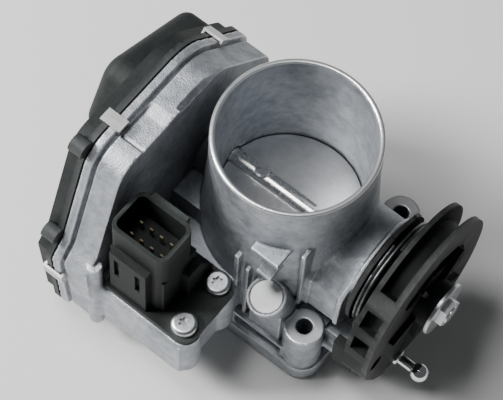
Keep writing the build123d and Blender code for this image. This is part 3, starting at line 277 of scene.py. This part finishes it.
# ---------------------------------------------------------------- finishes
@dataclass(frozen=True)
class CastAluminium:
    """Bead-blasted die casting with machined rim and boss tops and a machined flange face."""

    name: str = "cast_aluminium"
    dull: Colour = (0.27, 0.29, 0.32)
    bright: Colour = (0.52, 0.54, 0.57)
    machined: Colour = (0.86, 0.87, 0.88)
    # painted shade: the dark colour laid into the casting's hollows
    painted_shade: Colour = (0.08, 0.085, 0.09)
    metal: float = 0.92
    patches: Noise = Noise(0.016, 4.0, 0.6)
    mottle: Noise = Noise(0.004, 5.0, 0.65)
    lathe_marks: Noise = Noise(0.0006, 2.0, 0.5, (1.0, 1.0, 0.05))
    grain: float = 0.0007
    patch_share: float = 0.6
    mottle_share: float = 0.5
    tone_span: Pair = (0.3, 0.8)
    # edges lightened partly by wear and partly by a painted highlight
    worn_span: Pair = (0.505, 0.56)
    worn_least: float = 0.55
    wear_and_highlight_mottle: float = 0.6
    # where, and how strongly, painted shade darkens the hollows
    hollow_span: Pair = (0.495, 0.44)
    hollow_share: float = 0.7
    rough: float = 0.50
    rough_mottle: float = 0.16
    rough_worn: float = 0.10
    cut_rough: float = 0.30
    relief: Point = (0.5, 0.6, 0.5)
    cut_relief: float = 0.12
    depth: float = 0.00022
    rim_z: float = 0.1134
    cut_edge: float = 0.0004
    rim_reach: float = 0.0014
    rim_fade: float = 1.05
    boss_z: float = 0.0348
    boss_high: float = 0.0356
    flat_span: Pair = (0.90, 0.97)
    foot_span: Pair = (0.0004, 0.0001)

    def material(self) -> bpy.types.Material:
        """Builds the material."""
        shader = Shader(self.name)
        patches = shader.noise(self.patches)
        mottle = shader.noise(self.mottle)
        grain = shader.grains(self.grain)
        tone = (patches * self.patch_share + mottle * self.mottle_share).step(*self.tone_span)
        base = shader.blend(tone, self.dull, self.bright)
        # convex edges lightened towards the machined colour: part wear, part painted highlight
        worn = shader.edges(*self.worn_span) * (self.worn_least + mottle * self.wear_and_highlight_mottle)
        base = shader.blend(worn.clamped(), base, self.machined)
        # painted shade darkens the hollows, where shade would fall
        hollow_shade = shader.edges(*self.hollow_span)
        base = shader.blend((hollow_shade * self.hollow_share).clamped(), base, self.painted_shade)
        cut = self._machined(shader)
        base = shader.blend(cut, base, self.machined)
        rough = (self.rough + mottle * self.rough_mottle) - worn * self.rough_worn
        rough = rough * (1 - cut) + cut * self.cut_rough
        shader.set(Base_Color=base, Metallic=self.metal, Roughness=rough)
        of_grain, of_mottle, of_patches = self.relief
        cast = grain * of_grain + mottle * of_mottle + patches * of_patches
        shader.bump(cast * (1 - cut) + shader.noise(self.lathe_marks) * cut * self.cut_relief, self.depth)
        return shader.material

    def _machined(self, shader: Shader) -> Value:
        """Where the casting was cut: the inlet rim, the boss tops and the flange face.

        Args:
            shader: The shader to add nodes to.

        Returns:
            1 on cut faces, 0 elsewhere.
        """
        height = shader.axis("Z")
        flat = shader.facing("Z").step(*self.flat_span)
        across = shader.axis("X")
        along = shader.axis("Y")
        near = (across * across + along * along).step(self.rim_reach * self.rim_fade, self.rim_reach)
        rim = height.step(self.rim_z - self.cut_edge, self.rim_z) * near
        over = height.step(self.boss_high + self.cut_edge, self.boss_high)
        boss = height.step(self.boss_z - self.cut_edge, self.boss_z) * over * flat
        foot = height.step(*self.foot_span)
        return (rim + boss + foot).clamped()


@dataclass(frozen=True)
class BrightSteel:
    """Plated or ground metal with fine marks left by the tool."""

    name: str
    colour: Colour = (0.62, 0.63, 0.64)
    dark: Colour = (0.38, 0.39, 0.40)
    rough: float = 0.26
    marks: Noise = Noise(0.0003, 3.0, 0.6)
    depth: float = 0.00004
    cloud: Noise = Noise(0.003, 3.0, 0.55)
    mark_share: float = 0.5
    cloud_share: float = 0.6
    tone_span: Pair = (0.25, 0.8)
    worn_span: Pair = (0.51, 0.60)
    worn_share: float = 0.6
    worn_gain: float = 1.35
    rough_cloud: float = 0.14
    rough_marks: float = 0.05

    def material(self) -> bpy.types.Material:
        """Builds the material."""
        shader = Shader(self.name)
        marks = shader.noise(self.marks)
        cloud = shader.noise(self.cloud)
        tone = (marks * self.mark_share + cloud * self.cloud_share).step(*self.tone_span)
        base = shader.blend(tone, self.dark, self.colour)
        rubbed = tuple(min(1.0, share * self.worn_gain) for share in self.colour)
        base = shader.blend(shader.edges(*self.worn_span) * self.worn_share, base, rubbed)
        rough = self.rough + cloud * self.rough_cloud - marks * self.rough_marks
        shader.set(Base_Color=base, Metallic=1.0, Roughness=rough)
        shader.bump(marks, self.depth)
        return shader.material


@dataclass(frozen=True)
class MouldedPlastic:
    """Filled black plastic with a fine moulded grain and rubbed edges."""

    name: str
    colour: Colour
    pale: Colour
    rubbed: Colour
    rough: float = 0.50
    shine: float = 0.22
    flow: Noise = Noise(0.012, 4.0, 0.6, (1.0, 0.35, 1.0))
    speck: Noise = Noise(0.0015, 4.0, 0.6)
    grain: float = 0.0006
    flow_share: float = 0.7
    speck_share: float = 0.4
    tone_span: Pair = (0.35, 0.85)
    worn_span: Pair = (0.52, 0.62)
    worn_least: float = 0.4
    worn_speck: float = 0.8
    worn_share: float = 0.7
    rough_flow: float = 0.16
    rough_speck: float = 0.08
    rough_worn: float = 0.08
    relief: Pair = (0.5, 0.5)
    depth: float = 0.00007

    def material(self) -> bpy.types.Material:
        """Builds the material."""
        shader = Shader(self.name)
        flow = shader.noise(self.flow)
        speck = shader.noise(self.speck)
        tone = (flow * self.flow_share + speck * self.speck_share).step(*self.tone_span)
        base = shader.blend(tone, self.colour, self.pale)
        worn = shader.edges(*self.worn_span) * (self.worn_least + speck * self.worn_speck)
        base = shader.blend((worn * self.worn_share).clamped(), base, self.rubbed)
        rough = self.rough + flow * self.rough_flow + speck * self.rough_speck - worn * self.rough_worn
        shader.set(Base_Color=base, Roughness=rough, Specular_IOR_Level=self.shine)
        of_grain, of_speck = self.relief
        shader.bump(shader.grains(self.grain) * of_grain + speck * of_speck, self.depth)
        return shader.material


@dataclass(frozen=True)
class Clouded:
    """A plain non-metal whose colour and sheen drift a little, such as rubber or laminate."""

    name: str
    low: Colour
    high: Colour
    cloud: Noise
    span: Pair
    rough: float
    rough_cloud: float
    depth: float
    grain: float | None = None

    def material(self) -> bpy.types.Material:
        """Builds the material; the relief is the grain if there is one, or else the cloud."""
        shader = Shader(self.name)
        cloud = shader.noise(self.cloud)
        base = shader.blend(cloud.step(*self.span), self.low, self.high)
        shader.set(Base_Color=base, Roughness=self.rough + cloud * self.rough_cloud)
        shader.bump(cloud if self.grain is None else shader.grains(self.grain), self.depth)
        return shader.material


RUBBER = Clouded(
    "seal_rubber", low=(0.012, 0.012, 0.012), high=(0.04, 0.04, 0.042), cloud=Noise(0.002, 4.0, 0.6),
    span=(0.35, 0.8), rough=0.72, rough_cloud=0.2, depth=0.00005)
ACETAL = Clouded(
    "gear_plastic", low=(0.62, 0.58, 0.47), high=(0.78, 0.75, 0.66), cloud=Noise(0.006, 3.0, 0.5),
    span=(0.3, 0.8), rough=0.38, rough_cloud=0.15, depth=0.00004, grain=0.0008)
LAMINATE = Clouded(
    "board", low=(0.02, 0.10, 0.04), high=(0.04, 0.17, 0.08),
    cloud=Noise(0.0006, 2.0, 0.5, (1.0, 3.0, 1.0)), span=(0.3, 0.7), rough=0.35, rough_cloud=0.15,
    depth=0.00005)
ALONG_SHAFT = Noise(0.0004, 3.0, 0.6, (0.08, 1.0, 1.0))
ROLLED = Noise(0.0006, 3.0, 0.6, (0.1, 1.0, 1.0))
POLISHED = Noise(0.0005, 3.0, 0.6)
TURNED = Noise(0.0008, 3.0, 0.6)


def make_finishes() -> dict[str, bpy.types.Material]:
    """Builds every finish once.

    Returns:
        Material slot name to material.
    """
    finishes: Iterable[Any] = (
        CastAluminium(),
        RUBBER,
        ACETAL,
        LAMINATE,
        BrightSteel("bearing_steel"),
        BrightSteel("shaft_steel", (0.74, 0.74, 0.72), (0.46, 0.46, 0.45), 0.22, ALONG_SHAFT),
        BrightSteel("plate_alloy", (0.80, 0.80, 0.79), (0.58, 0.58, 0.58), 0.30, ROLLED),
        BrightSteel("zinc_screws", (0.70, 0.71, 0.73), (0.42, 0.43, 0.45), 0.28),
        BrightSteel("spring_steel", (0.17, 0.175, 0.18), (0.06, 0.062, 0.065), 0.34),
        BrightSteel("chrome_ball", (0.88, 0.88, 0.88), (0.74, 0.74, 0.75), 0.08, POLISHED, depth=0.00001),
        BrightSteel("clip_steel", (0.52, 0.52, 0.51), (0.30, 0.30, 0.30), 0.34),
        # the terminals' brass is darkened almost to black: painted shade for the connector's mouth
        BrightSteel("terminal_brass", (0.10, 0.085, 0.055), (0.05, 0.04, 0.03), 0.50),
        BrightSteel("motor_can", (0.62, 0.62, 0.60), (0.40, 0.40, 0.39), 0.32),
        BrightSteel("plug_aluminium", (0.70, 0.70, 0.71), (0.56, 0.57, 0.58), 0.42, TURNED),
        MouldedPlastic("cover_plastic", (0.012, 0.014, 0.014), (0.028, 0.032, 0.031), (0.07, 0.075, 0.075)),
        MouldedPlastic("pulley_plastic", (0.006, 0.007, 0.007), (0.016, 0.019, 0.018), (0.06, 0.065, 0.06)),
        MouldedPlastic("cup_plastic", (0.005, 0.006, 0.006), (0.013, 0.014, 0.014), (0.04, 0.04, 0.04)),
        MouldedPlastic("connector_plastic", (0.003, 0.004, 0.004), (0.010, 0.013, 0.012),
                       (0.05, 0.06, 0.055)),
    )
    return {finish.name: finish.material() for finish in finishes}


# ---------------------------------------------------------------- mesh tools
def sharpen(mesh: bpy.types.Mesh) -> None:
    """Shades a mesh smooth but for its sharp edges."""
    mesh.shade_smooth()
    mesh.set_sharp_from_angle(angle=math.radians(SHARP_DEGREES))


def new_piece(name: str, mesh: bpy.types.Mesh) -> bpy.types.Object:
    """Puts a mesh in the scene as a named piece."""
    made = bpy.data.objects.new(name, mesh)
    bpy.context.scene.collection.objects.link(made)
    return made


def apply_modifiers(piece: bpy.types.Object) -> None:
    """Replaces a piece's mesh with the result of its modifiers, and removes them."""
    graph = bpy.context.evaluated_depsgraph_get()
    result = bpy.data.meshes.new_from_object(piece.evaluated_get(graph))
    piece.modifiers.clear()
    piece.data = result


def axes_along(direction: Point) -> Matrix:
    """A rotation whose Z axis lies along a direction."""
    return Vector(direction).to_track_quat("Z", "X").to_matrix()


def lathe(outline: Sequence[Pair], start: Point, direction: Point) -> bmesh.types.BMesh:
    """Turns an outline about an axis.

    Args:
        outline: (radius, distance along the axis) pairs in metres, from one end to the other.
        start: Where distance 0 lies.
        direction: The axis.

    Returns:
        The turned mesh; rings of radius 0 become one point.
    """
    mesh = bmesh.new()
    turn = axes_along(direction)
    origin = Vector(start)
    rings = []
    for radius, along in outline:
        count = 1 if radius <= 0 else FACETS
        ring = []
        for index in range(count):
            angle = 2 * math.pi * index / FACETS
            spot = Vector((radius * math.cos(angle), radius * math.sin(angle), along))
            ring.append(mesh.verts.new(origin + turn @ spot))
        rings.append(ring)
    for low, high in zip(rings, rings[1:]):
        for index in range(FACETS):
            after = (index + 1) % FACETS
            corners = [low[index % len(low)], low[after % len(low)], high[after % len(high)],
                       high[index % len(high)]]
            unique = list(dict.fromkeys(corners))
            if len(unique) > 2:
                mesh.faces.new(unique)
    bmesh.ops.remove_doubles(mesh, verts=mesh.verts, dist=MERGE)
    bmesh.ops.recalc_face_normals(mesh, faces=mesh.faces)
    return mesh


def rounded_outline(corners: Sequence[Pair], radius: float) -> list[Pair]:
    """Rounds the inner corners of an open outline.

    Args:
        corners: The outline's corners.
        radius: The rounding of each corner but the two ends.

    Returns:
        The rounded outline.
    """
    points = [Vector(c) for c in corners]
    result: list[Pair] = [tuple(points[0])]
    for before, here, after in zip(points, points[1:], points[2:]):
        back, ahead = before - here, after - here
        reach = min(radius, back.length * ROUND_SHARE, ahead.length * ROUND_SHARE)
        start, end = here + back.normalized() * reach, here + ahead.normalized() * reach
        for index in range(ROUND_STEPS + 1):
            t = index / ROUND_STEPS
            spot = start * (1 - t) ** 2 + here * 2 * t * (1 - t) + end * t ** 2
            result.append(tuple(spot))
    result.append(tuple(points[-1]))
    return result


def join_meshes(parts: Iterable[bmesh.types.BMesh]) -> bpy.types.Mesh:
    """Puts several meshes into one.

    Args:
        parts: The meshes, which are freed.

    Returns:
        The joined mesh.
    """
    whole = bmesh.new()
    for part in parts:
        step = bpy.data.meshes.new("step")
        part.to_mesh(step)
        part.free()
        whole.from_mesh(step)
        bpy.data.meshes.remove(step)
    made = bpy.data.meshes.new("joined")
    whole.to_mesh(made)
    whole.free()
    return made


@dataclass
class Workshop:
    """What every sub-assembly needs: the frame, its nodes and the finishes."""

    frame: dict[str, Any]
    finishes: dict[str, bpy.types.Material]

    def slot_of(self, node: str) -> str:
        """The record's material slot of a node."""
        rows = self.frame["record"]["subparts"]
        return next(row["material_slot"] for row in rows if row["node"] == node)

    def dress_node(self, node: str) -> None:
        """Gives a carried-over node its finish."""
        mesh = self.frame["nodes"][node].data
        mesh.materials.clear()
        mesh.materials.append(self.finishes[self.slot_of(node)])

    def place(self, name: str, mesh: bpy.types.Mesh, node: str, body: Body,
              finish: str | None = None) -> bpy.types.Object:
        """Adds a piece that stands for a node.

        Args:
            name: The piece's name.
            mesh: Its mesh, in place.
            node: The node that it stands for.
            body: The body that it rides on.
            finish: Another finish than the node's own slot.

        Returns:
            The piece.
        """
        slot = finish or self.slot_of(node)
        mesh.materials.clear()
        mesh.materials.append(self.finishes[slot])
        piece = new_piece(name, mesh)
        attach(piece, body.value)
        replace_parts(piece, node)
        LOG.info("%s stands for %s with %d faces", name, node, len(mesh.polygons))
        return piece

    def softened(self, node: str, voxel: float, rounds: int, faces: int,
                 retouch: Callable[[np.ndarray], np.ndarray]) -> bpy.types.Mesh:
        """Copies a node's shape with every corner softened, as casting and moulding leave it.

        Args:
            node: The node to copy.
            voxel: The grid that the copy is rebuilt on, in metres.
            rounds: Smoothing rounds.
            faces: About how many triangles to keep.
            retouch: Moves the vertices of turned surfaces back to their true radius.

        Returns:
            The softened mesh.
        """
        source = self.frame["nodes"][node].data.copy()
        work = new_piece("work", source)
        remesh = work.modifiers.new("grid", "REMESH")
        remesh.mode = "VOXEL"
        remesh.voxel_size = voxel
        smooth = work.modifiers.new("soft", "SMOOTH")
        smooth.iterations = rounds
        smooth.factor = 0.5
        apply_modifiers(work)
        points = np.empty(len(work.data.vertices) * 3)
        work.data.vertices.foreach_get("co", points)
        work.data.vertices.foreach_set("co", retouch(points.reshape(-1, 3)).ravel())
        count = 2 * len(work.data.polygons)
        if count > faces:
            thin = work.modifiers.new("thin", "DECIMATE")
            thin.ratio = faces / count
            apply_modifiers(work)
        mesh = work.data
        bpy.data.objects.remove(work)
        mesh.shade_smooth()
        return mesh


# ---------------------------------------------------------------- sub-assemblies
@dataclass
class Casting:
    """The aluminium casting."""

    shop: Workshop
    voxel: float = 0.50 * MM
    rounds: int = 3
    faces: int = 190_000
    spigot_r: float = 34.0 * MM
    spigot_low: float = 93.0 * MM
    rim_z: float = 114.0 * MM
    bore_r: float = 30.0 * MM
    rim_bore_r: float = 31.7 * MM
    taper_z: float = 68.0 * MM
    foot_z: float = 1.0 * MM
    rim_soft: float = 0.9 * MM
    snap: float = 0.45 * MM

    def build(self) -> None:
        """Builds and dresses the casting."""
        mesh = self.shop.softened("throttle_casting", self.voxel, self.rounds, self.faces, self.true_duct)
        self.shop.place("casting", mesh, "throttle_casting", Body.HOUSING)

    def true_duct(self, points: np.ndarray) -> np.ndarray:
        """Puts the bore and the spigot back on their turned radii.

        Args:
            points: Vertex places, one row each.

        Returns:
            The moved places.
        """
        radius = np.hypot(points[:, 0], points[:, 1])
        height = points[:, 2]
        share = np.clip((height - self.taper_z) / (self.rim_z - self.taper_z), 0, 1)
        bore = self.bore_r + (self.rim_bore_r - self.bore_r) * share
        under_rim = height < self.rim_z - self.rim_soft
        inside = (height > self.foot_z) & under_rim
        wanted = np.where(inside & (abs(radius - bore) < self.snap), bore, radius)
        outside = (height > self.spigot_low) & under_rim
        wanted = np.where(outside & (abs(radius - self.spigot_r) < self.snap), self.spigot_r, wanted)
        points[:, :2] *= (wanted / np.maximum(radius, MERGE))[:, None]
        return points


@dataclass
class Linkage:
    """Turned steel on the shaft's pulley end: ball stud and washer."""

    shop: Workshop
    ball_r: float = 4.0 * MM
    stem_r: float = 2.5 * MM
    collar_r: float = 3.45 * MM
    neck_r: float = 2.2 * MM
    collar_low: float = 3.1 * MM
    collar_high: float = 5.2 * MM
    ball_steps: int = 24
    washer_hole_r: float = 4.1 * MM
    soft: float = 0.35 * MM

    def build(self) -> None:
        """Builds the turned pieces."""
        self.ball_stud()
        self.washer()

    def ball_stud(self) -> None:
        """The stem, collar, neck and polished ball."""
        low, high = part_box("ball_stud")
        length = high.x - low.x
        centre = length - self.ball_r
        corners = [(0, 0), (self.stem_r, 0), (self.stem_r, self.collar_low),
                   (self.collar_r, self.collar_low), (self.collar_r, self.collar_high),
                   (self.neck_r, self.collar_high + self.soft)]
        outline = rounded_outline(corners, self.soft)
        first = math.asin(self.neck_r / self.ball_r)
        for index in range(self.ball_steps + 1):
            angle = first + (math.pi - first) * index / self.ball_steps
            outline.append((self.ball_r * math.sin(angle), centre - self.ball_r * math.cos(angle)))
        outline[-1] = (0.0, length)
        middle = (low + high) / 2
        mesh = join_meshes([lathe(outline, (low.x, middle.y, middle.z), (1, 0, 0))])
        sharpen(mesh)
        self.shop.place("ball_on_stud", mesh, "ball_stud", Body.THROTTLE)

    def washer(self) -> None:
        """The broad washer with its edge broken."""
        low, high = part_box("shaft_washer")
        thick = high.x - low.x
        outer = (high.z - low.z) / 2
        hole = self.washer_hole_r
        corners = [(hole, 0), (outer, 0), (outer, thick), (hole, thick), (hole, 0)]
        middle = (low + high) / 2
        outline = rounded_outline(corners, self.soft)
        mesh = join_meshes([lathe(outline, (low.x, middle.y, middle.z), (1, 0, 0))])
        sharpen(mesh)
        self.shop.place("broad_washer", mesh, "shaft_washer", Body.THROTTLE)


@dataclass
class Rest:
    """Every node whose own shape is right, with small bevels on the edges of the larger ones."""

    shop: Workshop
    shown_by_pieces: set[str]
    bevel: float = 0.18 * MM
    segments: int = 2
    bent_degrees: float = 40.0
    bevelled: frozenset[str] = frozenset({
        "cable_pulley", "connector_housing", "cover_clips", "gear_cover", "shaft_nut", "spring_cup",
        "stop_lock_nut",
    })

    def build(self) -> None:
        """Dresses each remaining node."""
        for node, item in self.shop.frame["nodes"].items():
            if node in self.shown_by_pieces:
                continue
            self.shop.dress_node(node)
            if node not in self.bevelled:
                continue
            edge = item.modifiers.new("edges", "BEVEL")
            edge.width = self.bevel
            edge.segments = self.segments
            edge.limit_method = "ANGLE"
            edge.angle_limit = math.radians(self.bent_degrees)
            LOG.info("%s keeps its own shape, with its edges broken", node)


# ---------------------------------------------------------------- stage, light and camera
@dataclass(frozen=True)
class Viewpoint:
    """The camera: where it looks, from what direction, how far, rolled and how long a lens."""

    target: Point = (-0.0051, -0.0202, 0.0824)
    azimuth: float = 34.05
    elevation: float = 65.2
    roll: float = 4.85
    distance: float = 0.960
    lens: float = 175.35
    nearest: float = 0.05

    def place(self) -> None:
        """Adds the camera."""
        turn, rise, lean = (math.radians(v) for v in (self.azimuth, self.elevation, self.roll))
        back = Vector((math.sin(turn) * math.cos(rise), -math.cos(turn) * math.cos(rise), math.sin(rise)))
        right = Vector((math.cos(turn), math.sin(turn), 0.0))
        up = back.cross(right)
        cosine, sine = math.cos(lean), math.sin(lean)
        right, up = right * cosine + up * sine, up * cosine - right * sine
        data = bpy.data.cameras.new("camera")
        data.lens = self.lens
        data.clip_start = self.nearest
        camera = bpy.data.objects.new("camera", data)
        spot = Vector(self.target) + back * self.distance
        axes = Matrix((right, up, back)).transposed().to_4x4()
        camera.matrix_world = Matrix.Translation(spot) @ axes
        bpy.context.scene.collection.objects.link(camera)
        bpy.context.scene.camera = camera


@dataclass(frozen=True)
class Lamp:
    """One soft area light aimed at the object."""

    name: str
    spot: Point
    power: float
    size: float
    colour: Colour = (1.0, 1.0, 1.0)
    aim: Point = (0.0, 0.0, 0.05)

    def place(self) -> None:
        """Adds the light."""
        data = bpy.data.lights.new(self.name, "AREA")
        data.energy = self.power
        data.size = self.size
        data.color = self.colour
        lamp = bpy.data.objects.new(self.name, data)
        lamp.location = self.spot
        lamp.rotation_mode = "QUATERNION"
        lamp.rotation_quaternion = (Vector(self.aim) - Vector(self.spot)).to_track_quat("-Z", "Y")
        bpy.context.scene.collection.objects.link(lamp)


@dataclass(frozen=True)
class Studio:
    """A pale floor and soft lights."""

    floor_half: float = 3.0
    floor_drop: float = 0.0005
    floor_colour: Colour = (0.70, 0.70, 0.69)
    floor_shade: float = 0.97
    floor_cloud: Noise = Noise(0.4, 2.0, 0.5)
    floor_rough: float = 0.8
    world_colour: Colour = (0.75, 0.78, 0.80)
    world_strength: float = 0.12
    lamps: tuple[Lamp, ...] = (
        Lamp("key", (-0.95, -0.62, 0.95), 40.0, 0.42),
        Lamp("top", (-0.35, -0.15, 1.30), 10.0, 0.4),
    )

    def build(self) -> None:
        """Adds the floor, the world light and the lamps."""
        mesh = bpy.data.meshes.new("floor")
        half = self.floor_half
        mesh.from_pydata([(-half, -half, 0), (half, -half, 0), (half, half, 0), (-half, half, 0)], [],
                         [(0, 1, 2, 3)])
        shader = Shader("floor")
        cloud = shader.noise(self.floor_cloud)
        shade = tuple(share * self.floor_shade for share in self.floor_colour)
        shader.set(Base_Color=shader.blend(cloud, self.floor_colour, shade), Roughness=self.floor_rough)
        mesh.materials.append(shader.material)
        floor = new_piece("floor", mesh)
        floor.location.z = -self.floor_drop
        world = bpy.data.worlds.new("soft")
        bpy.context.scene.world = world
        world.use_nodes = True
        back = world.node_tree.nodes["Background"]
        back.inputs[0].default_value = (*self.world_colour, 1.0)
        back.inputs[1].default_value = self.world_strength
        for lamp in self.lamps:
            lamp.place()


def main() -> None:
    """Builds the throttle body's looks in order."""
    logging.basicConfig(level=logging.INFO, format="%(message)s")
    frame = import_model()
    Viewpoint().place()
    Studio().build()
    shop = Workshop(frame, make_finishes())
    Casting(shop).build()
    Linkage(shop).build()
    replaced = {node for piece in bpy.data.objects for node in piece.get("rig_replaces", [])}
    Rest(shop, replaced).build()


if __name__ == "__main__":
    main()
